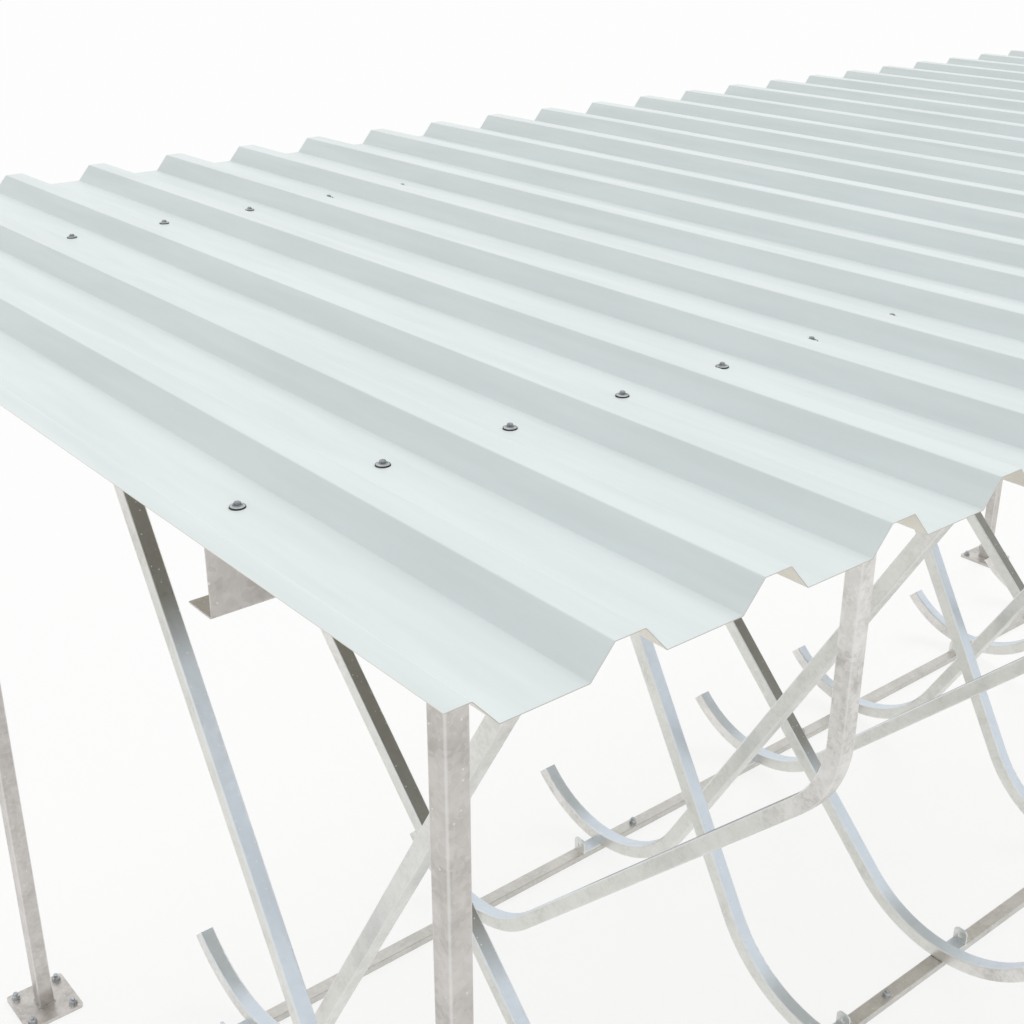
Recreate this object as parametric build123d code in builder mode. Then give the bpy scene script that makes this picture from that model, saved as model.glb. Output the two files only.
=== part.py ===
from build123d import *
from math import cos, radians, sin, tan
import os

# Open bike shelter, in millimetres. X runs along the row of bikes and Y across it. The ground is
# Z = 0, and the origin is on the ground below the middle of the roof.

# Roof: side-lapped trapezoidal sheets
VALLEY_COUNT = 23
VALLEY_PITCH = 207.0
VALLEY_WIDTH = 108.0
WEB_RUN = 30.0
CREST_WIDTH = VALLEY_PITCH - VALLEY_WIDTH - 2 * WEB_RUN
PROFILE_HEIGHT = 35.0
SHEET_THICKNESS = 1.0
SHEET_LENGTH = 2546.0
VALLEYS_PER_SHEET = 5
VERGE_WIDTH = 30.0
LAP_SLACK = 1.0
LAP_LEG_RUN = 10.0

# Purlins: rolled Z sections under the roof
PURLIN_HEIGHT = 150.0
PURLIN_TOP_FLANGE = 50.0
PURLIN_BOTTOM_FLANGE = 60.0
PURLIN_THICKNESS = 2.5
PURLIN_BEND = 3.0
PURLIN_WEB_Y = 687.0
VERGE_OVERHANG = 80.0
EAVES_HEIGHT = 2030.0

# Square tube of the bars and posts
TUBE = 40.0
TUBE_WALL = 3.0
TUBE_CORNER = 5.0
CAP = 3.0
VENT_DIAMETER = 10.0
BAR_TOP_GAP = 4.5
BAR_BEND_RADIUS = 260.0

# Wheel hooks at the lower ends of the bars
HOOK_RADIUS = 360.0
HOOK_Y = 482.0
HOOK_END_ANGLE = 45.0

# Where the bars stand along the front row, and the slope of their long run
LOW_RUN_ANGLE = 45.0
STEEP_RUN_ANGLE = 60.0
BAY_PITCH = 1200.0
FIRST_LOW_X = -1037.0
FIRST_STEEP_X = -1733.0
LOW_COUNT = 3
STEEP_COUNT = 4

# Ground rails
RAIL_WIDTH = 40.0
RAIL_HEIGHT = 20.0
RAIL_WALL = 2.0
RAIL_CORNER = 3.0
RAIL_OVERHANG = 183.0
RAIL_ANCHOR_DIAMETER = 12.0
INNER_ANCHOR_SPAN = 800.0
OUTER_ANCHOR_SPAN = 3200.0

# Brackets that stand on the rails beside the bars
BRACKET_LENGTH = 70.0
BRACKET_HEIGHT = 45.0
BRACKET_THICKNESS = 5.0
BRACKET_CORNER = 12.0
BRACKET_HOLE_DIAMETER = 13.0

# Posts, base plates and end beams
POST_INSET = 190.0
POST_Y = 910.0
BEAM_HEIGHT = 60.0
BASE_SIZE = 150.0
BASE_THICKNESS = 10.0
BASE_CORNER = 8.0
ANCHOR_DIAMETER = 14.0
ANCHOR_PITCH = 110.0

ROOF_LENGTH = VALLEY_COUNT * VALLEY_PITCH - CREST_WIDTH - 2 * WEB_RUN + 2 * (WEB_RUN + VERGE_WIDTH)
FIRST_VALLEY_X = -ROOF_LENGTH / 2 + VERGE_WIDTH + WEB_RUN
CREST_Z = PROFILE_HEIGHT - SHEET_THICKNESS
PURLIN_LENGTH = ROOF_LENGTH - 2 * VERGE_OVERHANG
PURLIN_BOTTOM = EAVES_HEIGHT - PURLIN_HEIGHT
BAR_TOP = EAVES_HEIGHT - PURLIN_THICKNESS - BAR_TOP_GAP
BAR_Y = PURLIN_WEB_Y + TUBE / 2
HOOK_Z = RAIL_HEIGHT + TUBE / 2 + HOOK_RADIUS
BORE = TUBE - 2 * TUBE_WALL
BORE_CORNER = TUBE_CORNER - TUBE_WALL
POST_TOP = PURLIN_BOTTOM - BEAM_HEIGHT
POST_X = PURLIN_LENGTH / 2 - POST_INSET
RAIL_LENGTH = 2 * (FIRST_STEEP_X + (STEEP_COUNT - 1) * BAY_PITCH + RAIL_OVERHANG)

os.makedirs("parts", exist_ok=True)


def save(part, name):
    """Label a finished piece and write it to its file."""
    part.label = name
    export_step(part, f"parts/{name}.step")


def facing_along(x, y, z, side=1):
    """Upright plane square to the row of bikes. It faces +X on side 1 and -X on side -1."""
    return Plane(origin=(x, y, z), x_dir=(0, side, 0), z_dir=(side, 0, 0))


def valley_x(index):
    """X of the left fold of one valley of the roof."""
    return FIRST_VALLEY_X + index * VALLEY_PITCH


def sheet_outline(first, last):
    """Underside of one roof sheet, from left to right, above the eaves height."""
    if first == 0:
        points = [(valley_x(first) - WEB_RUN - VERGE_WIDTH, CREST_Z)]
    else:
        points = [(valley_x(first) - WEB_RUN - CREST_WIDTH + LAP_SLACK, CREST_Z)]
    for index in range(first, last + 1):
        left = valley_x(index)
        right = left + VALLEY_WIDTH
        points += [(left - WEB_RUN, CREST_Z), (left, 0), (right, 0), (right + WEB_RUN, CREST_Z)]
    if last == VALLEY_COUNT - 1:
        points += [(right + WEB_RUN + VERGE_WIDTH, CREST_Z)]
    else:
        lap_z = CREST_Z + SHEET_THICKNESS
        lap_x = right + WEB_RUN + CREST_WIDTH + LAP_SLACK
        leg_drop = LAP_LEG_RUN * PROFILE_HEIGHT / WEB_RUN
        points[-1] = (right + WEB_RUN, lap_z)
        points += [(lap_x, lap_z), (lap_x + LAP_LEG_RUN, lap_z - leg_drop)]
    return points


def roof_sheet(first, last):
    """One trapezoidal sheet that holds the valleys from first to last."""
    eaves_plane = Plane(origin=(0, 0, EAVES_HEIGHT), x_dir=(1, 0, 0), z_dir=(0, -1, 0))
    with BuildPart() as sheet:
        with BuildSketch(eaves_plane):
            with BuildLine():
                Polyline(*sheet_outline(first, last))
                offset(amount=SHEET_THICKNESS, side=Side.LEFT, kind=Kind.INTERSECTION)
            make_face()
        extrude(amount=SHEET_LENGTH / 2, both=True)
    return sheet.part


def purlin(side):
    """A Z purlin. Its top flange points outward and its bottom flange inward."""
    tip = -PURLIN_WEB_Y - PURLIN_TOP_FLANGE
    web = -PURLIN_WEB_Y + PURLIN_THICKNESS
    foot = -PURLIN_WEB_Y + PURLIN_BOTTOM_FLANGE
    foot_z = PURLIN_THICKNESS - PURLIN_HEIGHT
    with BuildPart() as rail:
        with BuildSketch(facing_along(0, 0, EAVES_HEIGHT, side)):
            with BuildLine():
                FilletPolyline(
                    (tip, 0),
                    (web, 0),
                    (web, foot_z),
                    (foot, foot_z),
                    radius=(PURLIN_BEND + PURLIN_THICKNESS, PURLIN_BEND),
                )
                offset(amount=PURLIN_THICKNESS, side=Side.RIGHT)
            make_face()
        extrude(amount=PURLIN_LENGTH / 2, both=True)
    return rail.part


def bar_line(slope, inset):
    """Centreline of a bar: a drop beside the purlin, a bend, a sloping run and a wheel hook."""
    touch_y = HOOK_Y - HOOK_RADIUS * sin(radians(slope))
    touch_z = HOOK_Z - HOOK_RADIUS * cos(radians(slope))
    corner_z = touch_z + (touch_y + BAR_Y) * tan(radians(slope))
    inset_angle = inset / radians(HOOK_RADIUS)
    FilletPolyline(
        (-BAR_Y, BAR_TOP - inset),
        (-BAR_Y, corner_z),
        (touch_y, touch_z),
        radius=BAR_BEND_RADIUS,
    )
    CenterArc((HOOK_Y, HOOK_Z), HOOK_RADIUS, 270 - slope, slope + HOOK_END_ANGLE - inset_angle)


def bent_bar(x, side, slope):
    """A capped square tube with a wheel hook at its lower end."""
    bar_plane = facing_along(x, 0, 0, side)
    with BuildPart() as bar:
        with BuildLine(bar_plane) as outer_path:
            bar_line(slope, 0)
        with BuildSketch(Plane(origin=(x, -side * BAR_Y, BAR_TOP), z_dir=(0, 0, -1))):
            RectangleRounded(TUBE, TUBE, TUBE_CORNER)
        sweep(path=outer_path.line)
        with BuildLine(bar_plane) as inner_path:
            bar_line(slope, CAP)
        with BuildSketch(Plane(origin=(x, -side * BAR_Y, BAR_TOP - CAP), z_dir=(0, 0, -1))):
            RectangleRounded(BORE, BORE, BORE_CORNER)
        sweep(path=inner_path.line, mode=Mode.SUBTRACT)
        with Locations((x, -side * BAR_Y, BAR_TOP)):
            Hole(VENT_DIAMETER / 2, depth=2 * CAP)
    return bar.part


def ground_rail(y):
    """A flat tube on the ground, with caps in its ends and anchor holes through it."""
    with BuildPart() as rail:
        with BuildSketch(facing_along(-RAIL_LENGTH / 2, y, RAIL_HEIGHT / 2)):
            RectangleRounded(RAIL_WIDTH, RAIL_HEIGHT, RAIL_CORNER)
        extrude(amount=RAIL_LENGTH)
        with BuildSketch(facing_along(CAP - RAIL_LENGTH / 2, y, RAIL_HEIGHT / 2)):
            RectangleRounded(RAIL_WIDTH - 2 * RAIL_WALL, RAIL_HEIGHT - 2 * RAIL_WALL, RAIL_CORNER - RAIL_WALL)
        extrude(amount=RAIL_LENGTH - 2 * CAP, mode=Mode.SUBTRACT)
        for span in (INNER_ANCHOR_SPAN, OUTER_ANCHOR_SPAN):
            with Locations((-span / 2, y, RAIL_HEIGHT), (span / 2, y, RAIL_HEIGHT)):
                Hole(RAIL_ANCHOR_DIAMETER / 2)
    return rail.part


def rail_brackets(positions, side):
    """Angle brackets that stand on a ground rail, each against one face of a bar of the given side."""
    y = side * HOOK_Y
    with BuildPart() as brackets:
        for x in positions:
            bar_face = side * (x - TUBE / 2)
            with BuildSketch(Plane(origin=(0, 0, RAIL_HEIGHT))):
                with Locations((bar_face - side * BRACKET_LENGTH / 2, y)):
                    Rectangle(BRACKET_LENGTH, RAIL_WIDTH)
            extrude(amount=BRACKET_THICKNESS)
            stand = facing_along(bar_face - side * BRACKET_LENGTH, y, RAIL_HEIGHT + BRACKET_HEIGHT / 2, side)
            with BuildSketch(stand) as leg:
                Rectangle(RAIL_WIDTH, BRACKET_HEIGHT)
                fillet(leg.vertices().group_by(Axis.Y)[-1], BRACKET_CORNER)
                Circle(BRACKET_HOLE_DIAMETER / 2, mode=Mode.SUBTRACT)
            extrude(amount=BRACKET_THICKNESS)
    return brackets.part


def post(x, y):
    """A square corner post, open at both ends, between its base plate and the end beam."""
    with BuildPart() as column:
        with BuildSketch(Plane(origin=(x, y, BASE_THICKNESS))):
            RectangleRounded(TUBE, TUBE, TUBE_CORNER)
            RectangleRounded(BORE, BORE, BORE_CORNER, mode=Mode.SUBTRACT)
        extrude(amount=POST_TOP - BASE_THICKNESS)
    return column.part


def base_plate(x, y):
    """A base plate with four anchor holes."""
    with BuildPart() as plate:
        with BuildSketch(Plane(origin=(x, y, 0))):
            RectangleRounded(BASE_SIZE, BASE_SIZE, BASE_CORNER)
            with GridLocations(ANCHOR_PITCH, ANCHOR_PITCH, 2, 2):
                Circle(ANCHOR_DIAMETER / 2, mode=Mode.SUBTRACT)
        extrude(amount=BASE_THICKNESS)
    return plate.part


def end_beam(x):
    """The capped tube that joins the two posts of one end and carries both purlins."""
    length = 2 * POST_Y + TUBE
    centre_z = POST_TOP + BEAM_HEIGHT / 2
    with BuildPart() as beam:
        with BuildSketch(Plane(origin=(x, length / 2, centre_z), x_dir=(1, 0, 0), z_dir=(0, -1, 0))):
            RectangleRounded(TUBE, BEAM_HEIGHT, TUBE_CORNER)
        extrude(amount=length)
        with BuildSketch(Plane(origin=(x, length / 2 - CAP, centre_z), x_dir=(1, 0, 0), z_dir=(0, -1, 0))):
            RectangleRounded(BORE, BEAM_HEIGHT - 2 * TUBE_WALL, BORE_CORNER)
        extrude(amount=length - 2 * CAP, mode=Mode.SUBTRACT)
        with Locations((x, 0, POST_TOP)):
            Hole(VENT_DIAMETER / 2, depth=2 * TUBE_WALL)
    return beam.part


for number, first in enumerate(range(0, VALLEY_COUNT, VALLEYS_PER_SHEET), start=1):
    last = min(first + VALLEYS_PER_SHEET, VALLEY_COUNT) - 1
    save(roof_sheet(first, last), f"roof_sheet_{number}")

low_xs = [FIRST_LOW_X + index * BAY_PITCH for index in range(LOW_COUNT)]
steep_xs = [FIRST_STEEP_X + index * BAY_PITCH for index in range(STEEP_COUNT)]

# The back row is the front row turned half a turn about the middle of the roof. Each row of bars
# crosses under the roof, so its hooks stand on the rail of the other side.
for row, other_row, side in (("front", "back", 1), ("back", "front", -1)):
    save(purlin(side), f"{row}_purlin")
    save(ground_rail(side * HOOK_Y), f"{other_row}_ground_rail")
    save(rail_brackets(low_xs + steep_xs, side), f"{other_row}_rail_brackets")
    for number, x in enumerate(low_xs, start=1):
        save(bent_bar(side * x, side, LOW_RUN_ANGLE), f"{row}_low_bar_{number}")
    for number, x in enumerate(steep_xs, start=1):
        save(bent_bar(side * x, side, STEEP_RUN_ANGLE), f"{row}_steep_bar_{number}")

for end, x in (("left", -POST_X), ("right", POST_X)):
    save(end_beam(x), f"{end}_end_beam")
    for row, y in (("front", -POST_Y), ("back", POST_Y)):
        save(post(x, y), f"{end}_{row}_post")
        save(base_plate(x, y), f"{end}_{row}_base_plate")
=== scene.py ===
"""Looks of an open bike shelter: galvanised tubes, a coated trapezoidal sheet roof and their fasteners."""

from __future__ import annotations

import logging
import math
from dataclasses import asdict, dataclass
from enum import Enum
from functools import partial
from typing import Any, Callable, Iterable, Sequence

import bpy
from mathutils import Euler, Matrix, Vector


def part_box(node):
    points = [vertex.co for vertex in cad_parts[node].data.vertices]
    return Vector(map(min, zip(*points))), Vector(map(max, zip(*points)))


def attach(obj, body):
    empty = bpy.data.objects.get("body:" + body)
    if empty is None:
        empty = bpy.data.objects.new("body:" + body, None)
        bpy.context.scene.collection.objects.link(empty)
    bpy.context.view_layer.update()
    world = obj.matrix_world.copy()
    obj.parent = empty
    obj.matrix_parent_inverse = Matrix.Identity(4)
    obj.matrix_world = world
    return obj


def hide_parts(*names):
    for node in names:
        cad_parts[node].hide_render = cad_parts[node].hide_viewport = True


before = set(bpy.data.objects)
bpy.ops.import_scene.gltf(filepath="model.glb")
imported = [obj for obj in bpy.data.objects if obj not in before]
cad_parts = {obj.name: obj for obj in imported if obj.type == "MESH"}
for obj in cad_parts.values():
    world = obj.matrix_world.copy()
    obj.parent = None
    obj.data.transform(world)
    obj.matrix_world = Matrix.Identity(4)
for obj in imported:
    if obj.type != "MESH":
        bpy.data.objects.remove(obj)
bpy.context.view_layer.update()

LOG = logging.getLogger("bike_shelter")
BODY = "root"
MM = 0.001
UP = (0.0, 0.0, 1.0)
WHITE = (1.0, 1.0, 1.0, 1.0)

Point = tuple[float, float, float]
Spot = tuple[Point, Point]
EdgePath = tuple[Sequence[Point], bool]
Material = bpy.types.Material
Node = bpy.types.Node
Socket = bpy.types.NodeSocket
Tree = bpy.types.NodeTree
NodeAdder = Callable[..., Node]


def linear(hex_colour: str) -> tuple[float, float, float, float]:
    """Turn an sRGB colour such as "C8CCCB" into linear light.

    Args:
        hex_colour: Six hexadecimal digits, red first.

    Returns:
        Linear red, green and blue, with an alpha of 1.
    """
    channels = [int(hex_colour[i : i + 2], 16) / 255 for i in (0, 2, 4)]
    red, green, blue = (c / 12.92 if c <= 0.04045 else ((c + 0.055) / 1.055) ** 2.4 for c in channels)
    return red, green, blue, 1.0


def add_node(tree: Tree, kind: str, inputs: dict[str | int, Any] | None = None, **settings: Any) -> Node:
    """Add one node with its settings, input values and links.

    The settings come first, because a node's data type decides which socket a name finds.

    Args:
        tree: The node tree that gets the node.
        kind: The node's type name.
        inputs: Value or output socket for each input, by name or index.
        **settings: Properties of the node itself.

    Returns:
        The new node.
    """
    made = tree.nodes.new(kind)
    for name, value in settings.items():
        setattr(made, name, value)
    for key, value in (inputs or {}).items():
        if isinstance(value, Socket):
            tree.links.new(value, made.inputs[key])
        else:
            made.inputs[key].default_value = value
    return made


def colour_steps(ramp: Node, positions: Sequence[float], colours: Sequence[str]) -> None:
    """Set the stops of a colour ramp.

    Args:
        ramp: The colour ramp node.
        positions: Position of each stop, in order.
        colours: sRGB colour of each stop.
    """
    stops = ramp.color_ramp.elements
    while len(stops) < len(positions):
        stops.new(1.0)
    for stop, position, colour in zip(stops, positions, colours):
        stop.position = position
        stop.color = linear(colour)


class Side(Enum):
    """The two long sides. The back is the front turned half a turn."""

    FRONT = 1
    BACK = -1

    @property
    def label(self) -> str:
        """Word that starts the side's node names."""
        return self.name.lower()


class End(Enum):
    """The two short ends, by the word that starts their node names."""

    LEFT = "left"
    RIGHT = "right"


class Slot(Enum):
    """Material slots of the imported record."""

    SHEET = "coated_sheet"
    STEEL = "galvanised_steel"


@dataclass(frozen=True)
class Relief:
    """Fine relief of a surface: soft noise of one size and depth."""

    size_mm: float
    depth_mm: float
    detail: float = 2.0
    strength: float = 0.5


class Surface:
    """A material in the making: its nodes, and where each point of the surface lies and faces."""

    def __init__(self, name: str) -> None:
        """Start the material.

        Args:
            name: Name of the material.
        """
        self.material = bpy.data.materials.new(name)
        self.material.use_nodes = True
        self.tree = self.material.node_tree
        self.add: NodeAdder = partial(add_node, self.tree)
        texture = self.add("ShaderNodeTexCoord")
        self.place = texture.outputs["Object"]
        self.normal = texture.outputs["Normal"]

    def close(
        self,
        colour: Socket,
        pattern: Socket,
        roughness: float,
        swing: float,
        relief: Relief,
        metallic: float = 0.0,
    ) -> Material:
        """Join a colour, an uneven gloss and a fine relief to the shader.

        Args:
            colour: Socket with the colour.
            pattern: Socket with a number from 0 to 1 that makes the gloss uneven.
            roughness: Roughness halfway.
            swing: How much rougher the surface is where the pattern is 0, and smoother where it is 1.
            relief: The fine relief.
            metallic: How much of the surface is metal.

        Returns:
            The finished material.
        """
        gloss = self.add(
            "ShaderNodeMapRange",
            {"Value": pattern, "To Min": roughness + swing, "To Max": roughness - swing},
        )
        height = self.add(
            "ShaderNodeTexNoise",
            {"Vector": self.place, "Scale": 1 / (relief.size_mm * MM), "Detail": relief.detail},
        )
        bump = self.add(
            "ShaderNodeBump",
            {"Height": height.outputs[0], "Distance": relief.depth_mm * MM, "Strength": relief.strength},
        )
        shader = self.tree.nodes["Principled BSDF"]
        shader.inputs["Metallic"].default_value = metallic
        self.tree.links.new(colour, shader.inputs["Base Color"])
        self.tree.links.new(gloss.outputs[0], shader.inputs["Roughness"])
        self.tree.links.new(bump.outputs[0], shader.inputs["Normal"])
        return self.material


@dataclass(frozen=True)
class CoilCoating:
    """Coil-coated steel sheet: polyester paint baked on the flat coil before the ribs are rolled.

    The paint is smooth, thin and even, so the eye sees only a satin sheen, faint rain marks along the
    pans, a paler backing coat underneath and the grey zinc of the cut edges.
    """

    name: str = "coil_coated_steel_sheet"
    top: str = "E8F0F0"
    rain_mark: str = "E2EAEA"
    mark_steps: tuple[float, float] = (0.35, 0.62)
    mark_length_mm: float = 420.0
    mark_width_mm: float = 38.0
    backing: str = "F0ECE2"
    backing_dust: str = "E0DCD1"
    dust_steps: tuple[float, float] = (0.3, 0.65)
    dust_patch_mm: float = 160.0
    cut_edge: str = "C9C8C0"
    edge_facing: float = 0.9
    roughness: float = 0.42
    roughness_swing: float = 0.05
    waves: Relief = Relief(size_mm=90.0, depth_mm=0.25, detail=1.0, strength=1.0)

    def build(self) -> Material:
        """Make the material.

        Returns:
            The new material.
        """
        surface = Surface(self.name)
        across, along = 1 / (self.mark_width_mm * MM), 1 / (self.mark_length_mm * MM)
        stretched = surface.add(
            "ShaderNodeMapping",
            {"Vector": surface.place, "Scale": (across, along, across)},
        )
        marks = surface.add(
            "ShaderNodeTexNoise",
            {"Vector": stretched.outputs[0], "Scale": 1.0, "Detail": 3.0, "Roughness": 0.55},
        ).outputs[0]
        colour = self.paint(surface, marks)
        return surface.close(colour, marks, self.roughness, self.roughness_swing, self.waves)

    def paint(self, surface: Surface, marks: Socket) -> Socket:
        """Colour the top coat, the backing coat and the cut edges at the eaves.

        Args:
            surface: The material in the making.
            marks: Socket with the strength of the rain marks.

        Returns:
            Socket with the colour.
        """
        add = surface.add
        top = add("ShaderNodeValToRGB", {"Fac": marks})
        colour_steps(top, self.mark_steps, (self.rain_mark, self.top))
        dust = add(
            "ShaderNodeTexNoise",
            {"Vector": surface.place, "Scale": 1 / (self.dust_patch_mm * MM), "Detail": 4.0},
        )
        under = add("ShaderNodeValToRGB", {"Fac": dust.outputs[0]})
        colour_steps(under, self.dust_steps, (self.backing_dust, self.backing))
        facing = add("ShaderNodeSeparateXYZ", {"Vector": surface.normal}).outputs
        is_top = add("ShaderNodeMath", {0: facing["Z"], 1: 0.0}, operation="GREATER_THAN")
        painted = add(
            "ShaderNodeMix",
            {"Factor": is_top.outputs[0], "A": under.outputs[0], "B": top.outputs[0]},
            data_type="RGBA",
        )
        end_on = add("ShaderNodeMath", {0: facing["Y"]}, operation="ABSOLUTE")
        is_edge = add("ShaderNodeMath", {0: end_on.outputs[0], 1: self.edge_facing}, operation="GREATER_THAN")
        edged = add(
            "ShaderNodeMix",
            {"Factor": is_edge.outputs[0], "A": painted.outputs["Result"], "B": linear(self.cut_edge)},
            data_type="RGBA",
        )
        return edged.outputs["Result"]


@dataclass(frozen=True)
class HotDipZinc:
    """Hot-dip galvanised steel: a zinc skin that froze in crystals and then weathered to a matt grey.

    The eye sees soft clouds where the zinc dulled unevenly, faint crystal flakes a centimetre across,
    sparse bright flecks, a painted highlight as a pale line along each rounded corner, a soft broken
    gloss, and a tone that is warmer outside the purlins and paler and greener between them, which is
    painted light against the roof's shade. The faces that look up carry a painted reflection: dark
    like the roof's shaded underside close under the roof, and pale blue like the sky further down.
    """

    name: str = "hot_dip_galvanised_tube"
    pale: str = "EFEDEA"
    middle: str = "E2E0DC"
    dull: str = "C6C3BF"
    tone_steps: tuple[float, float, float] = (0.30, 0.47, 0.62)
    cloud_mm: float = 85.0
    flake_mm: float = 9.0
    flake_warp: float = 0.8
    flake_share: float = 0.12
    # Painted light: paler, greener zinc between the purlins, to lift the roof's shade.
    sheltered: str = "E6E8E3"
    sheltered_share: float = 0.55
    sheltered_half_width_mm: float = 670.0
    sheltered_edge_mm: float = 220.0
    # Painted reflection of the roof's shaded underside on the faces that look up, high under the roof.
    dust: str = "74746E"
    # Painted reflection of the sky past the roof's edge on the same faces, further down.
    cool: str = "D3DFEB"
    upper_share: float = 0.8
    upper_facing: tuple[float, float] = (0.2, 0.45)
    slope_facing: tuple[float, float] = (0.5, 0.7)
    dust_ends_mm: tuple[float, float] = (1180.0, 320.0)
    dust_fade_mm: float = 130.0
    # Colour of the bright flecks, and of the painted corner highlight.
    fleck: str = "F2F1EE"
    fleck_mm: float = 14.0
    fleck_size: float = 0.16
    fleck_share: float = 0.6
    # Painted highlight along the rounded corners.
    corner_shine: float = 0.55
    metallic: float = 0.82
    roughness: float = 0.36
    roughness_swing: float = -0.06
    grain: Relief = Relief(size_mm=1.6, depth_mm=0.05, strength=0.6)

    def build(self) -> Material:
        """Make the material.

        Returns:
            The new material.
        """
        surface = Surface(self.name)
        tone_chance, gloss_chance, _ = self.flakes(surface)
        colour = self.clouds(surface, tone_chance)
        for layer in (self.shelter, self.upper_faces, self.flecks, self.corners):
            colour = layer(surface, colour)
        return surface.close(
            colour, gloss_chance, self.roughness, self.roughness_swing, self.grain, self.metallic
        )

    def flakes(self, surface: Surface) -> Sequence[Socket]:
        """Draw zinc crystals with uneven borders.

        Args:
            surface: The material in the making.

        Returns:
            Three sockets, each with a random number for every crystal.
        """
        add, per_metre = surface.add, 1 / (self.flake_mm * MM)
        warp = add("ShaderNodeTexNoise", {"Vector": surface.place, "Scale": per_metre, "Detail": 1.0})
        shift = add(
            "ShaderNodeVectorMath",
            {0: warp.outputs["Color"], 1: (self.flake_mm * MM * self.flake_warp,) * 3},
            operation="MULTIPLY",
        )
        warped = add("ShaderNodeVectorMath", {0: surface.place, 1: shift.outputs[0]})
        crystals = add("ShaderNodeTexVoronoi", {"Vector": warped.outputs[0], "Scale": per_metre})
        return list(add("ShaderNodeSeparateColor", {"Color": crystals.outputs["Color"]}).outputs)

    def clouds(self, surface: Surface, flake: Socket) -> Socket:
        """Spread the zinc's three tones in soft clouds.

        Args:
            surface: The material in the making.
            flake: Socket with a random number for every crystal.

        Returns:
            Socket with the colour.
        """
        clouds = surface.add(
            "ShaderNodeTexNoise",
            {"Vector": surface.place, "Scale": 1 / (self.cloud_mm * MM), "Detail": 6.0, "Roughness": 0.62},
        )
        share = surface.add(
            "ShaderNodeMix",
            {"Factor": self.flake_share, "A": clouds.outputs[0], "B": flake},
        )
        tone = surface.add("ShaderNodeValToRGB", {"Fac": share.outputs[0]})
        colour_steps(tone, self.tone_steps, (self.dull, self.middle, self.pale))
        return tone.outputs[0]

    def shelter(self, surface: Surface, tone: Socket) -> Socket:
        """Paint light on the zinc, paler and greener, between the two purlins where the roof's shade falls.

        Args:
            surface: The material in the making.
            tone: Socket with the colour outside.

        Returns:
            Socket with the colour everywhere.
        """
        add = surface.add
        where = add("ShaderNodeSeparateXYZ", {"Vector": surface.place})
        across = add("ShaderNodeMath", {0: where.outputs["Y"]}, operation="ABSOLUTE")
        # Painted light: full share inside, falling to 0 at the purlins.
        inside = add(
            "ShaderNodeMapRange",
            {
                "Value": across.outputs[0],
                "From Min": (self.sheltered_half_width_mm - self.sheltered_edge_mm) * MM,
                "From Max": self.sheltered_half_width_mm * MM,
                "To Min": self.sheltered_share,
                "To Max": 0.0,
            },
        )
        mixed = add(
            "ShaderNodeMix",
            {"Factor": inside.outputs[0], "A": tone, "B": linear(self.sheltered)},
            data_type="RGBA",
        )
        return mixed.outputs["Result"]

    def upper_faces(self, surface: Surface, tone: Socket) -> Socket:
        """Paint a reflection on the faces that look up: the roof's shaded underside high up, the sky below.

        The painted roof reflection reaches further down on bars that slope at 45 degrees than on steeper
        ones.

        Args:
            surface: The material in the making.
            tone: Socket with the colour of the other faces.

        Returns:
            Socket with the colour of all faces.
        """
        add = surface.add
        height = add("ShaderNodeSeparateXYZ", {"Vector": surface.place}).outputs["Z"]
        facing = add("ShaderNodeSeparateXYZ", {"Vector": surface.normal}).outputs["Z"]
        ends = add(
            "ShaderNodeMapRange",
            {
                "Value": facing,
                "From Min": self.slope_facing[0],
                "From Max": self.slope_facing[1],
                "To Min": self.dust_ends_mm[0] * MM,
                "To Max": self.dust_ends_mm[1] * MM,
            },
        ).outputs[0]
        full = add("ShaderNodeMath", {0: ends, 1: self.dust_fade_mm * MM}, operation="ADD")
        roof_reflection_share = add("ShaderNodeMapRange", {"Value": height, "From Min": ends, "From Max": full.outputs[0]})
        # Painted reflection: the sky low down, the roof's shaded underside high up.
        painted_reflection = add(
            "ShaderNodeMix",
            {"Factor": roof_reflection_share.outputs[0], "A": linear(self.cool), "B": linear(self.dust)},
            data_type="RGBA",
        )
        first, last = self.upper_facing
        up = add(
            "ShaderNodeMapRange",
            {"Value": facing, "From Min": first, "From Max": last, "To Max": self.upper_share},
        )
        mixed = add(
            "ShaderNodeMix",
            {"Factor": up.outputs[0], "A": tone, "B": painted_reflection.outputs["Result"]},
            data_type="RGBA",
        )
        return mixed.outputs["Result"]

    def flecks(self, surface: Surface, tone: Socket) -> Socket:
        """Sprinkle small bright flecks.

        Args:
            surface: The material in the making.
            tone: Socket with the colour between the flecks.

        Returns:
            Socket with the colour everywhere.
        """
        add = surface.add
        spots = add("ShaderNodeTexVoronoi", {"Vector": surface.place, "Scale": 1 / (self.fleck_mm * MM)})
        chance = add("ShaderNodeSeparateColor", {"Color": spots.outputs["Color"]})
        reach = add("ShaderNodeMath", {0: chance.outputs[0], 1: self.fleck_size}, operation="MULTIPLY")
        is_fleck = add(
            "ShaderNodeMath",
            {0: spots.outputs["Distance"], 1: reach.outputs[0]},
            operation="LESS_THAN",
        )
        share = add("ShaderNodeMath", {0: is_fleck.outputs[0], 1: self.fleck_share}, operation="MULTIPLY")
        mixed = add(
            "ShaderNodeMix",
            {"Factor": share.outputs[0], "A": tone, "B": linear(self.fleck)},
            data_type="RGBA",
        )
        return mixed.outputs["Result"]

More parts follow.
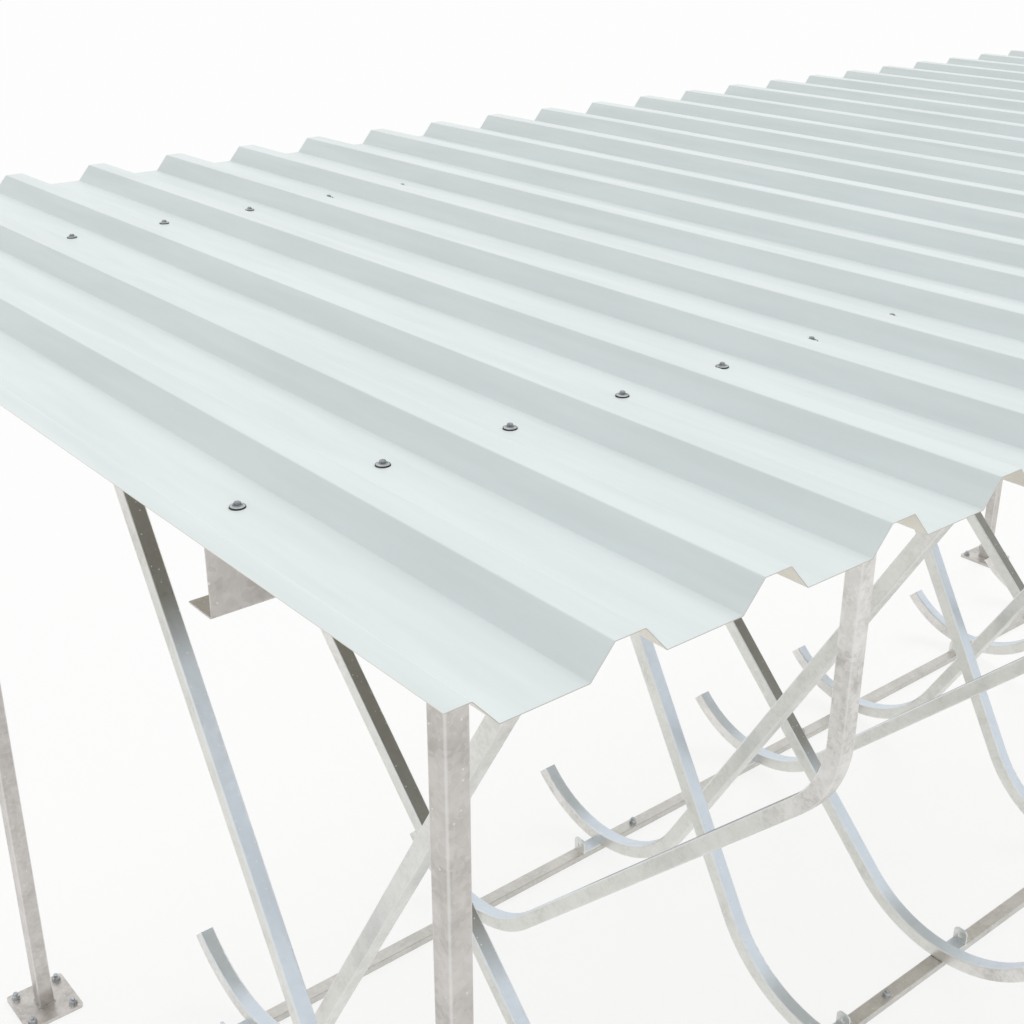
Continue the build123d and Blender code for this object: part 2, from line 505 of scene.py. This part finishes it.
    def corners(self, surface: Surface, tone: Socket) -> Socket:
        """Paint a pale highlight along the rounded corners of the tubes, which all have faces square to X.

        Args:
            surface: The material in the making.
            tone: Socket with the colour of the flat faces.

        Returns:
            Socket with the colour everywhere.
        """
        add = surface.add
        facing = add("ShaderNodeSeparateXYZ", {"Vector": surface.normal}).outputs["X"]
        along_x = add("ShaderNodeMath", {0: facing, 1: facing}, operation="MULTIPLY").outputs[0]
        across_x = add("ShaderNodeMath", {0: 1.0, 1: along_x}, operation="SUBTRACT")
        turning = add("ShaderNodeMath", {0: along_x, 1: across_x.outputs[0]}, operation="MULTIPLY")
        # The product is 0 on a flat face and a quarter in the middle of a corner.
        painted_highlight = add(
            "ShaderNodeMapRange",
            {"Value": turning.outputs[0], "From Max": 0.25, "To Max": self.corner_shine},
        )
        # Painted highlight: the pale colour mixed in along the corners.
        mixed = add(
            "ShaderNodeMix",
            {"Factor": painted_highlight.outputs[0], "A": tone, "B": linear(self.fleck)},
            data_type="RGBA",
        )
        return mixed.outputs["Result"]


@dataclass(frozen=True)
class SmallPartFinish:
    """Finish of a bolt, screw, washer or weld bead: one tone with fine soft variation."""

    name: str
    light: str
    dark: str
    metallic: float
    roughness: float
    patch_mm: float
    grain: Relief
    tone_steps: tuple[float, float] = (0.35, 0.65)
    roughness_swing: float = 0.06

    def build(self) -> Material:
        """Make the material.

        Returns:
            The new material.
        """
        surface = Surface(self.name)
        patches = surface.add(
            "ShaderNodeTexNoise",
            {"Vector": surface.place, "Scale": 1 / (self.patch_mm * MM), "Detail": 3.0},
        ).outputs[0]
        tone = surface.add("ShaderNodeValToRGB", {"Fac": patches})
        colour_steps(tone, self.tone_steps, (self.dark, self.light))
        return surface.close(
            tone.outputs[0], patches, self.roughness, self.roughness_swing, self.grain, self.metallic
        )


# Hot-dip zinc on slim tubes: thin, pale and softly clouded.
TUBE_ZINC = HotDipZinc()
# The same zinc on the thicker sections, where the hot steel turned more of it to dull alloy.
SECTION_ZINC = HotDipZinc(
    name="hot_dip_galvanised_section",
    pale="D9D5D2",
    middle="CDC9C5",
    dull="BAB6B2",
    # Weaker painted light between the purlins on the sections, and no painted reflection on their upper
    # faces.
    sheltered="D6D8D2",
    sheltered_share=0.35,
    upper_share=0.0,
)
# Bright zinc plating: smooth, thin and a little bluish, on turned and headed bolts.
BOLT_ZINC = SmallPartFinish(
    name="bright_zinc_plated_bolt_steel",
    light="C9CCCE",
    dark="A9ADB0",
    metallic=0.9,
    roughness=0.32,
    patch_mm=9.0,
    grain=Relief(0.8, 0.02),
)
# Case-hardened screw steel under thin plating: duller and darker than a bolt; the darker tone is partly
# painted shade of the groove between washer and head.
SCREW_STEEL = SmallPartFinish(
    name="plated_screw_steel",
    light="A6A9AC",
    dark="85888C",
    metallic=0.9,
    roughness=0.36,
    patch_mm=6.0,
    grain=Relief(0.8, 0.02),
)
# Synthetic rubber seal under a roofing screw: matt and nearly black.
SEAL_RUBBER = SmallPartFinish(
    name="moulded_epdm_rubber",
    light="30302E",
    dark="232322",
    metallic=0.0,
    roughness=0.7,
    patch_mm=6.0,
    grain=Relief(0.8, 0.03),
)
# Fillet weld under hot-dip zinc: lumpy, with a dull skin.
WELD_ZINC = SmallPartFinish(
    name="galvanised_weld_bead",
    light="C4C3BD",
    dark="9C9C95",
    metallic=0.7,
    roughness=0.5,
    patch_mm=14.0,
    grain=Relief(2.0, 0.25),
)


def dress(piece: bpy.types.Object, replaced: Sequence[str] = ()) -> None:
    """Let a finished piece ride on the frame.

    Args:
        piece: The piece, in place.
        replaced: CAD nodes that it stands for.
    """
    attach(piece, BODY)
    if replaced:
        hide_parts(*replaced)
    LOG.info("%s: %d faces", piece.name, len(piece.data.polygons))


def bake_tree(name: str, source: bpy.types.Mesh, tree: Tree, values: dict[str, Any]) -> bpy.types.Object:
    """Run a Geometry Nodes tree on a mesh and keep only the plain result.

    Args:
        name: Name of the finished piece.
        source: The points or edges that the tree starts from.
        tree: The tree.
        values: Value for each named input of the tree.

    Returns:
        A plain mesh object at the origin.
    """
    worker = bpy.data.objects.new(f"{name}_source", source)
    bpy.context.scene.collection.objects.link(worker)
    modifier = worker.modifiers.new("shape", "NODES")
    modifier.node_group = tree
    for socket in tree.interface.items_tree:
        if socket.in_out == "INPUT" and socket.name in values:
            modifier[socket.identifier] = values[socket.name]
    bpy.context.view_layer.update()
    evaluated = worker.evaluated_get(bpy.context.evaluated_depsgraph_get())
    result = bpy.data.meshes.new_from_object(evaluated)
    bpy.data.objects.remove(worker)
    piece = bpy.data.objects.new(name, result)
    result.name = name
    bpy.context.scene.collection.objects.link(piece)
    return piece


def point_cloud(name: str, spots: Iterable[Spot]) -> bpy.types.Mesh:
    """Make a mesh of loose points that each know an axis.

    Args:
        name: Name of the mesh.
        spots: Position in metres and axis of each point.

    Returns:
        The mesh.
    """
    listed = list(spots)
    mesh = bpy.data.meshes.new(name)
    mesh.from_pydata([position for position, _ in listed], [], [])
    axes = mesh.attributes.new("axis", "FLOAT_VECTOR", "POINT")
    axes.data.foreach_set("vector", [value for _, axis in listed for value in axis])
    return mesh


def edge_paths(name: str, paths: Iterable[EdgePath]) -> bpy.types.Mesh:
    """Make a mesh of edge paths.

    Args:
        name: Name of the mesh.
        paths: Corners of each path in metres, and whether it is a closed ring.

    Returns:
        The mesh.
    """
    corners: list[Point] = []
    edges: list[tuple[int, int]] = []
    for points, is_ring in paths:
        first = len(corners)
        corners += points
        edges += [(first + i, first + i + 1) for i in range(len(points) - 1)]
        if is_ring:
            edges.append((len(corners) - 1, first))
    mesh = bpy.data.meshes.new(name)
    mesh.from_pydata(corners, edges, [])
    return mesh


class ShapeTree:
    """A Geometry Nodes tree in the making, with named inputs."""

    def __init__(self, name: str, sizes: Sequence[str], seeded: bool = False) -> None:
        """Start the tree.

        Args:
            name: The tree's name.
            sizes: Names of the inputs for its sizes.
            seeded: Whether it also has an input for a random seed.
        """
        self.tree = bpy.data.node_groups.new(name, "GeometryNodeTree")
        kinds = {"Geometry": "NodeSocketGeometry"} | dict.fromkeys(sizes, "NodeSocketFloat")
        if seeded:
            kinds["Seed"] = "NodeSocketInt"
        kinds["Finish"] = "NodeSocketMaterial"
        for label, kind in kinds.items():
            self.tree.interface.new_socket(label, in_out="INPUT", socket_type=kind)
        self.tree.interface.new_socket("Geometry", in_out="OUTPUT", socket_type="NodeSocketGeometry")
        self.add: NodeAdder = partial(add_node, self.tree)
        self.start = self.add("NodeGroupInput").outputs

    def spread(self, shape: Socket) -> Socket:
        """Put a copy of a shape on every point, along the point's axis and with a turn of its own.

        Args:
            shape: Socket with the shape, along Z.

        Returns:
            Socket with the copies.
        """
        add = self.add
        axis = add("GeometryNodeInputNamedAttribute", {"Name": "axis"}, data_type="FLOAT_VECTOR")
        upright = add("FunctionNodeAlignRotationToVector", {"Vector": axis.outputs[0]}, axis="Z")
        turn = add(
            "FunctionNodeRandomValue",
            {"Min": 0.0, "Max": math.tau, "Seed": self.start["Seed"]},
            data_type="FLOAT",
        )
        spin = add("FunctionNodeAxisAngleToRotation", {"Axis": UP, "Angle": turn.outputs["Value"]})
        turned = add(
            "FunctionNodeRotateRotation",
            {0: upright.outputs[0], 1: spin.outputs[0]},
            rotation_space="LOCAL",
        )
        copies = add(
            "GeometryNodeInstanceOnPoints",
            {"Points": self.start["Geometry"], "Instance": shape, "Rotation": turned.outputs[0]},
        )
        return copies.outputs[0]

    def close(self, shape: Socket) -> Tree:
        """End the tree with Realize Instances, Set Material and the output.

        Args:
            shape: Socket with the finished shape.

        Returns:
            The tree.
        """
        real = self.add("GeometryNodeRealizeInstances", {0: shape})
        painted = self.add(
            "GeometryNodeSetMaterial",
            {"Geometry": real.outputs[0], "Material": self.start["Finish"]},
        )
        self.add("NodeGroupOutput", {0: painted.outputs[0]})
        return self.tree


@dataclass(frozen=True)
class Disc:
    """Washer, seal, flange or stud. Its fields, in millimetres, are inputs of the disc tree."""

    radius: float
    top_radius: float
    height: float
    lift: float = 0.0


@dataclass(frozen=True)
class Hexagon:
    """Bolt head or nut. Its fields, in millimetres, are inputs of the hexagon tree."""

    across_flats: float
    height: float
    lift: float


@dataclass
class ShapeKit:
    """Geometry Nodes trees for hexagons, discs, weld beads and folded sheets."""

    disc_sides: int = 24
    chamfer_share: float = 0.14
    chamfer_scale: float = 0.86
    bead_sides: int = 8
    bead_corner_steps: int = 3
    ripple_rate: float = 0.6
    fold_steps: int = 6
    merge_mm: float = 0.01

    def __post_init__(self) -> None:
        """Make the trees."""
        self.hexagons = self.hexagon_tree()
        self.discs = self.disc_tree()
        self.beads = self.bead_tree()
        self.sheets = self.sheet_tree()

    def hexagon_tree(self) -> Tree:
        """Make the tree that puts a chamfered hexagon on every point: a bolt head or a nut.

        Returns:
            The tree, with the fields of Hexagon as inputs.
        """
        shape = ShapeTree("hexagons", ("Across Flats", "Height", "Lift"), seeded=True)
        add, start = shape.add, shape.start
        radius = add("ShaderNodeMath", {0: start["Across Flats"], 1: 1 / math.sqrt(3)}, operation="MULTIPLY")
        straight = 1 - self.chamfer_share
        block_height = add("ShaderNodeMath", {0: start["Height"], 1: straight}, operation="MULTIPLY")
        chamfer = add("ShaderNodeMath", {0: start["Height"], 1: self.chamfer_share}, operation="MULTIPLY")
        middle = add(
            "ShaderNodeMath",
            {0: block_height.outputs[0], 1: 0.5, 2: start["Lift"]},
            operation="MULTIPLY_ADD",
        )
        block = add(
            "GeometryNodeMeshCylinder",
            {"Vertices": 6, "Radius": radius.outputs[0], "Depth": block_height.outputs[0]},
        )
        rise = add("ShaderNodeCombineXYZ", {"Z": middle.outputs[0]})
        raised = add("GeometryNodeTransform", {"Geometry": block.outputs[0], "Translation": rise.outputs[0]})
        crown = add(
            "GeometryNodeExtrudeMesh",
            {
                "Mesh": raised.outputs[0],
                "Selection": block.outputs["Top"],
                "Offset Scale": chamfer.outputs[0],
            },
            mode="FACES",
        )
        closed = add(
            "GeometryNodeScaleElements",
            {"Geometry": crown.outputs[0], "Selection": crown.outputs["Top"], "Scale": self.chamfer_scale},
        )
        return shape.close(shape.spread(closed.outputs[0]))

    def disc_tree(self) -> Tree:
        """Make the tree that puts a coned disc on every point: a washer, a seal or a bolt's shank.

        Returns:
            The tree, with the fields of Disc as inputs.
        """
        shape = ShapeTree("discs", ("Radius", "Top Radius", "Height", "Lift"), seeded=True)
        add, start = shape.add, shape.start
        disc = add(
            "GeometryNodeMeshCone",
            {
                "Vertices": self.disc_sides,
                "Radius Top": start["Top Radius"],
                "Radius Bottom": start["Radius"],
                "Depth": start["Height"],
            },
        )
        rise = add("ShaderNodeCombineXYZ", {"Z": start["Lift"]})
        raised = add("GeometryNodeTransform", {"Geometry": disc.outputs[0], "Translation": rise.outputs[0]})
        return shape.close(shape.spread(raised.outputs[0]))

    def bead_tree(self) -> Tree:
        """Make the tree that lays a lumpy weld bead along every edge path.

        Returns:
            The tree.
        """
        shape = ShapeTree("weld_beads", ("Bead Radius", "Ripple Length", "Ripple Depth"))
        add, start = shape.add, shape.start
        path = add("GeometryNodeMeshToCurve", {"Mesh": start["Geometry"]})
        rounded = add(
            "GeometryNodeFilletCurve",
            {
                "Curve": path.outputs[0],
                "Radius": start["Bead Radius"],
                "Limit Radius": True,
                "Count": self.bead_corner_steps,
            },
            mode="POLY",
        )
        even = add(
            "GeometryNodeResampleCurve",
            {"Curve": rounded.outputs[0], "Length": start["Ripple Length"]},
            mode="LENGTH",
        )
        ring = add(
            "GeometryNodeCurvePrimitiveCircle",
            {"Resolution": self.bead_sides, "Radius": start["Bead Radius"]},
        )
        bead = add(
            "GeometryNodeCurveToMesh",
            {"Curve": even.outputs[0], "Profile Curve": ring.outputs[0], "Fill Caps": True},
        )
        frequency = add(
            "ShaderNodeMath",
            {0: self.ripple_rate, 1: start["Ripple Length"]},
            operation="DIVIDE",
        )
        ripple = add("ShaderNodeTexNoise", {"Scale": frequency.outputs[0], "Detail": 1.0})
        swing = add(
            "ShaderNodeMapRange",
            {"Vector": ripple.outputs["Color"], "To Min": (-1.0, -1.0, -1.0), "To Max": (1.0, 1.0, 1.0)},
            data_type="FLOAT_VECTOR",
        )
        depth = add(
            "ShaderNodeVectorMath",
            {0: swing.outputs["Vector"], "Scale": start["Ripple Depth"]},
            operation="SCALE",
        )
        lumpy = add("GeometryNodeSetPosition", {"Geometry": bead.outputs[0], "Offset": depth.outputs[0]})
        smooth = add("GeometryNodeSetShadeSmooth", {0: lumpy.outputs[0]})
        return shape.close(smooth.outputs[0])

    def sheet_tree(self) -> Tree:
        """Make the tree that rounds a folded line, draws it out to a sheet's length and thickens it.

        Returns:
            The tree.
        """
        shape = ShapeTree("folded_sheet", ("Fold Radius", "Length", "Thickness"))
        add, start = shape.add, shape.start
        line = add("GeometryNodeMeshToCurve", {"Mesh": start["Geometry"]})
        rounded = add(
            "GeometryNodeFilletCurve",
            {
                "Curve": line.outputs[0],
                "Radius": start["Fold Radius"],
                "Limit Radius": True,
                "Count": self.fold_steps,
            },
            mode="POLY",
        )
        edges = add("GeometryNodeCurveToMesh", {"Curve": rounded.outputs[0]})
        reach = add("ShaderNodeCombineXYZ", {"Y": start["Length"]})
        skin = add(
            "GeometryNodeExtrudeMesh",
            {"Mesh": edges.outputs[0], "Offset": reach.outputs[0], "Offset Scale": 1.0},
            mode="EDGES",
        )
        facing_up = add("GeometryNodeFlipFaces", {"Mesh": skin.outputs[0]})
        top = add(
            "GeometryNodeExtrudeMesh",
            {"Mesh": facing_up.outputs[0], "Offset Scale": start["Thickness"], "Individual": False},
            mode="FACES",
        )
        both = add("GeometryNodeJoinGeometry", {0: top.outputs[0]})
        shape.tree.links.new(skin.outputs[0], both.inputs[0])
        closed = add(
            "GeometryNodeMergeByDistance",
            {"Geometry": both.outputs[0], "Distance": self.merge_mm * MM},
        )
        crisp = add("GeometryNodeSetShadeSmooth", {0: closed.outputs[0], 2: False})
        return shape.close(crisp.outputs[0])

    def place(
        self, name: str, part: Disc | Hexagon, spots: Iterable[Spot], finish: Material, seed: int
    ) -> None:
        """Put the same small part on every spot, as one steel piece.

        Args:
            name: Name of the piece.
            part: The part.
            spots: Position in metres and axis of each.
            finish: The part's material.
            seed: Seed of the random turns.
        """
        tree = self.discs if isinstance(part, Disc) else self.hexagons
        sizes = {label.replace("_", " ").title(): size * MM for label, size in asdict(part).items()}
        values = sizes | {"Seed": seed, "Finish": finish}
        dress(bake_tree(name, point_cloud(name, spots), tree, values))


@dataclass
class SheetRoof:
    """Five side-lapped trapezoidal sheets and the screws that hold them to the purlins."""

    kit: ShapeKit
    coating: Material
    zinc: Material
    screw: Material
    rubber: Material
    valley_count: int = 23
    valleys_per_sheet: int = 5
    pitch_mm: float = 207.0
    valley_mm: float = 108.0
    web_run_mm: float = 30.0
    height_mm: float = 35.0
    thickness_mm: float = 1.0
    fold_radius_mm: float = 2.5
    verge_mm: float = 30.0
    lap_slack_mm: float = 1.0
    lap_leg_mm: float = 10.0
    screw_y_mm: float = 713.0
    screw_seal: Disc = Disc(radius=10.4, top_radius=9.8, height=1.9)
    screw_washer: Disc = Disc(radius=9.4, top_radius=7.4, height=1.2, lift=1.9)
    screw_flange: Disc = Disc(radius=6.6, top_radius=5.8, height=1.0, lift=3.1)
    screw_head: Hexagon = Hexagon(across_flats=8.0, height=3.0, lift=4.1)
    screw_seed: int = 11

    def __post_init__(self) -> None:
        """Read the roof's place from the frame."""
        self.low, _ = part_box("roof_sheet_1")
        _, self.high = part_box(f"roof_sheet_{self.sheet_count}")
        self.crest_mm = self.pitch_mm - self.valley_mm - 2 * self.web_run_mm

    @property
    def sheet_count(self) -> int:
        """Number of sheets side by side."""
        return math.ceil(self.valley_count / self.valleys_per_sheet)

    def valley_x(self, index: int) -> float:
        """X of the left fold of a valley, in millimetres."""
        return self.low.x / MM + self.verge_mm + self.web_run_mm + index * self.pitch_mm

    def fold_line(self, first: int, last: int) -> list[Point]:
        """Corners of a sheet's underside.

        Args:
            first: Its first valley.
            last: Its last valley.

        Returns:
            The corners from left to right, in metres, at the front eave.
        """
        crest = self.height_mm - self.thickness_mm
        web = self.web_run_mm
        start = self.verge_mm if first == 0 else self.crest_mm - self.lap_slack_mm
        corners = [(self.valley_x(first) - web - start, crest)]
        for index in range(first, last + 1):
            left = self.valley_x(index)
            right = left + self.valley_mm
            corners += [(left - web, crest), (left, 0.0), (right, 0.0), (right + web, crest)]
        if last == self.valley_count - 1:
            corners.append((right + web + self.verge_mm, crest))
        else:
            over = crest + self.thickness_mm
            edge = right + web + self.crest_mm + self.lap_slack_mm
            corners[-1] = (right + web, over)
            drop = self.lap_leg_mm * self.height_mm / web
            corners += [(edge, over), (edge + self.lap_leg_mm, over - drop)]
        return [(x * MM, self.low.y, self.low.z + z * MM) for x, z in corners]

    def build_sheets(self) -> None:
        """Make each sheet in place of its CAD node."""
        sizes = {
            "Fold Radius": self.fold_radius_mm * MM,
            "Length": self.high.y - self.low.y,
            "Thickness": self.thickness_mm * MM,
        }
        for number in range(self.sheet_count):
            first = number * self.valleys_per_sheet
            last = min(first + self.valleys_per_sheet, self.valley_count) - 1
            node = f"roof_sheet_{number + 1}"
            line = edge_paths(node, [(self.fold_line(first, last), False)])
            piece = bake_tree(f"folded_{node}", line, self.kit.sheets, sizes | {"Finish": self.coating})
            dress(piece, [node])

    def build_screws(self) -> None:
        """Make the seals, washers, flanges and hexagon heads: one screw in each valley over each purlin."""
        floor = self.low.z + self.thickness_mm * MM
        spots: list[Spot] = []
        for side in Side:
            y = side.value * -self.screw_y_mm * MM
            middles = (self.valley_x(index) + self.valley_mm / 2 for index in range(self.valley_count))
            spots += [((x * MM, y, floor), UP) for x in middles]
        for name, part, finish in (
            ("seals", self.screw_seal, self.rubber),
            ("washers", self.screw_washer, self.zinc),
            ("flanges", self.screw_flange, self.screw),
            ("heads", self.screw_head, self.screw),
        ):
            self.kit.place(f"roof_screw_{name}", part, spots, finish, self.screw_seed)

    def build(self) -> None:
        """Make the whole roof."""
        self.build_sheets()
        self.build_screws()


@dataclass
class SteelFrame:
    """The galvanised tubes and purlins from the frame, and the bolts and welds that join them."""

    kit: ShapeKit
    tube: Material
    section: Material
    zinc: Material
    weld: Material
    bar_bolt_drops_mm: tuple[float, float] = (45.0, 115.0)
    purlin_web_inner_mm: float = 684.5
    purlin_bolt_y_mm: float = 654.0
    purlin_sheet_mm: float = 2.5
    plate_anchor_pitch_mm: float = 110.0
    rail_anchors_mm: tuple[float, ...] = (-1600.0, -400.0, 400.0, 1600.0)
    bolt_washer: Disc = Disc(radius=10.5, top_radius=10.1, height=2.0)
    bolt_head: Hexagon = Hexagon(across_flats=17.0, height=6.4, lift=2.0)
    anchor_washer: Disc = Disc(radius=12.0, top_radius=11.6, height=2.0)
    anchor_nut: Hexagon = Hexagon(across_flats=19.0, height=10.0, lift=2.0)
    anchor_stud: Disc = Disc(radius=6.0, top_radius=5.6, height=16.0, lift=2.0)
    disc_seed: int = 3
    bar_bolt_seed: int = 21
    purlin_bolt_seed: int = 31
    anchor_seed: int = 41
    bead_radius_mm: float = 3.0
    ripple_mm: float = 3.0
    ripple_depth_mm: float = 0.5

    def paint_nodes(self) -> None:
        """Give every CAD node that stays in view the galvanised finish."""
        for name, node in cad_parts.items():
            if not name.startswith("roof_sheet"):
                is_tube = "_bar_" in name or name.endswith("_brackets")
                node.data.materials.clear()
                node.data.materials.append(self.tube if is_tube else self.section)

    def bar_names(self, side: Side) -> list[str]:
        """Names of the bars of one side."""
        return [name for name in sorted(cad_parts) if name.startswith(side.label) and "_bar_" in name]

    def bolt_bars(self) -> None:
        """Bolt each bar to its purlin's web, with heads outside and nuts inside."""
        heads: list[Spot] = []
        nuts: list[Spot] = []
        for side in Side:
            outward = (0.0, -float(side.value), 0.0)
            inward = (0.0, float(side.value), 0.0)
            _, purlin_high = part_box(f"{side.label}_purlin")
            web_y = self.purlin_web_inner_mm * MM * -side.value
            for name in self.bar_names(side):
                low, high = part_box(name)
                middle = (low.x + high.x) / 2
                face = low.y if side is Side.FRONT else high.y
                for drop in self.bar_bolt_drops_mm:
                    heads.append(((middle, face, purlin_high.z - drop * MM), outward))
                    nuts.append(((middle, web_y, purlin_high.z - drop * MM), inward))
        for name, spots in (("bar_bolt", heads), ("bar_nut", nuts)):
            self.kit.place(f"{name}_washers", self.bolt_washer, spots, self.zinc, self.disc_seed)
            self.kit.place(f"{name}s", self.bolt_head, spots, self.zinc, self.bar_bolt_seed)

    def bolt_purlins(self) -> None:
        """Bolt both purlins down on the end beams."""
        spots: list[Spot] = []
        for end in End:
            low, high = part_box(f"{end.value}_end_beam")
            top = high.z + self.purlin_sheet_mm * MM
            for side in Side:
                spots.append((((low.x + high.x) / 2, -side.value * self.purlin_bolt_y_mm * MM, top), UP))
        self.kit.place("purlin_bolt_washers", self.bolt_washer, spots, self.zinc, self.disc_seed)
        self.kit.place("purlin_bolts", self.bolt_head, spots, self.zinc, self.purlin_bolt_seed)

    def anchor_feet(self) -> None:
        """Put an anchor stud, washer and nut in each hole of the base plates and rails."""
        spots: list[Spot] = []
        reach = self.plate_anchor_pitch_mm / 2 * MM
        for end in End:
            for side in Side:
                low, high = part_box(f"{end.value}_{side.label}_base_plate")
                centre = (low + high) / 2
                for x in (centre.x - reach, centre.x + reach):
                    spots += [((x, y, high.z), UP) for y in (centre.y - reach, centre.y + reach)]
        for side in Side:
            low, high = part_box(f"{side.label}_ground_rail")
            spots += [((x * MM, (low.y + high.y) / 2, high.z), UP) for x in self.rail_anchors_mm]
        self.kit.place("anchor_washers", self.anchor_washer, spots, self.zinc, self.disc_seed)
        self.kit.place("anchor_nuts", self.anchor_nut, spots, self.zinc, self.anchor_seed)
        self.kit.place("anchor_studs", self.anchor_stud, spots, self.zinc, self.disc_seed)

    def ring(self, low: Vector, high: Vector, z: float) -> EdgePath:
        """Closed path at a height in metres round an upright tube, from its lowest and highest corners."""
        return [(low.x, low.y, z), (high.x, low.y, z), (high.x, high.y, z), (low.x, high.y, z)], True

    def weld_posts(self) -> None:
        """Lay weld beads round the feet and heads of the posts."""
        paths: list[EdgePath] = []
        for end in End:
            for side in Side:
                low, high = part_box(f"{end.value}_{side.label}_post")
                paths += [self.ring(low, high, low.z), self.ring(low, high, high.z)]
        values = {
            "Bead Radius": self.bead_radius_mm * MM,
            "Ripple Length": self.ripple_mm * MM,
            "Ripple Depth": self.ripple_depth_mm * MM,
            "Finish": self.weld,
        }
        dress(bake_tree("post_welds", edge_paths("post_welds", paths), self.kit.beads, values))

    def build(self) -> None:
        """Dress the whole frame."""
        self.paint_nodes()
        self.bolt_bars()
        self.bolt_purlins()
        self.anchor_feet()
        self.weld_posts()


@dataclass
class Studio:
    """Pale floor, soft light and the camera at the photograph's viewing angle."""

    camera_at_mm: Point = (-2994.8, -2104.3, 2710.7)
    pitch_deg: float = 65.88
    heading_deg: float = -39.21
    lens_mm: float = 50.0
    sensor_mm: float = 36.0
    view_reach_m: float = 360.0
    floor_half_m: float = 90.0
    floor_colour: str = "FAFAF8"
    floor_glow: float = 0.82
    sky_strength: float = 0.72
    sun_strength: float = 1.05
    sun_spread_deg: float = 30.0
    sun_tilt_deg: tuple[float, float, float] = (45.0, 0.0, 105.0)

    def build_camera(self) -> None:
        """Place the camera."""
        data = bpy.data.cameras.new("camera")
        data.lens = self.lens_mm
        data.sensor_width = self.sensor_mm
        data.clip_end = self.view_reach_m
        camera = bpy.data.objects.new("camera", data)
        camera.location = Vector(self.camera_at_mm) * MM
        camera.rotation_euler = Euler((math.radians(self.pitch_deg), 0.0, math.radians(self.heading_deg)))
        bpy.context.scene.collection.objects.link(camera)
        bpy.context.scene.camera = camera

    def seen_directly(self, add: NodeAdder) -> Socket:
        """Tell how a surface looks apart from the light that it gives.

        Args:
            add: The function that adds a node to the tree.

        Returns:
            Socket that is 1 where the camera or a reflection sees the surface, and 0 for its light.
        """
        path = add("ShaderNodeLightPath").outputs
        mirrored = add(
            "ShaderNodeMath",
            {0: path["Is Glossy Ray"], 1: path["Is Transmission Ray"]},
            operation="MAXIMUM",
        )
        seen = add("ShaderNodeMath", {0: path["Is Camera Ray"], 1: mirrored.outputs[0]}, operation="MAXIMUM")
        return seen.outputs[0]

    def build_floor(self) -> None:
        """Lay the pale floor."""
        half = self.floor_half_m
        mesh = bpy.data.meshes.new("floor")
        corners = [(-half, -half, 0), (half, -half, 0), (half, half, 0), (-half, half, 0)]
        mesh.from_pydata(corners, [], [(0, 1, 2, 3)])
        floor = bpy.data.objects.new("floor", mesh)
        bpy.context.scene.collection.objects.link(floor)
        material = bpy.data.materials.new("studio_floor")
        material.use_nodes = True
        material.node_tree.nodes.clear()
        add = partial(add_node, material.node_tree)
        matt = add("ShaderNodeBsdfDiffuse", {"Color": linear(self.floor_colour)})
        white = add("ShaderNodeEmission", {"Color": WHITE, "Strength": 1.0})
        seen = self.seen_directly(add)
        share = add("ShaderNodeMath", {0: seen, 1: self.floor_glow}, operation="MULTIPLY")
        mixed = add("ShaderNodeMixShader", {0: share.outputs[0], 1: matt.outputs[0], 2: white.outputs[0]})
        add("ShaderNodeOutputMaterial", {0: mixed.outputs[0]})
        mesh.materials.append(material)

    def build_light(self) -> None:
        """Light the object from an even sky with one wide soft sun."""
        world = bpy.data.worlds.new("studio_sky")
        world.use_nodes = True
        world.node_tree.nodes.clear()
        add = partial(add_node, world.node_tree)
        strength = add(
            "ShaderNodeMapRange",
            {"Value": self.seen_directly(add), "To Min": self.sky_strength, "To Max": 1.0},
        )
        sky = add("ShaderNodeBackground", {"Color": WHITE, "Strength": strength.outputs[0]})
        add("ShaderNodeOutputWorld", {0: sky.outputs[0]})
        bpy.context.scene.world = world
        data = bpy.data.lights.new("soft_sun", "SUN")
        data.energy = self.sun_strength
        data.angle = math.radians(self.sun_spread_deg)
        sun = bpy.data.objects.new("soft_sun", data)
        sun.rotation_euler = Euler([math.radians(angle) for angle in self.sun_tilt_deg])
        sun.visible_glossy = False
        bpy.context.scene.collection.objects.link(sun)

    def build(self) -> None:
        """Make the whole studio."""
        self.build_camera()
        self.build_floor()
        self.build_light()
        bpy.context.scene.view_settings.view_transform = "Standard"


def main() -> None:
    """Build the studio and dress the shelter."""
    logging.basicConfig(level=logging.INFO, format="%(name)s: %(message)s")
    kit = ShapeKit()
    zinc = BOLT_ZINC.build()
    Studio().build()
    SheetRoof(kit, CoilCoating().build(), zinc, SCREW_STEEL.build(), SEAL_RUBBER.build()).build()
    SteelFrame(kit, TUBE_ZINC.build(), SECTION_ZINC.build(), zinc, WELD_ZINC.build()).build()


if __name__ == "__main__":
    main()
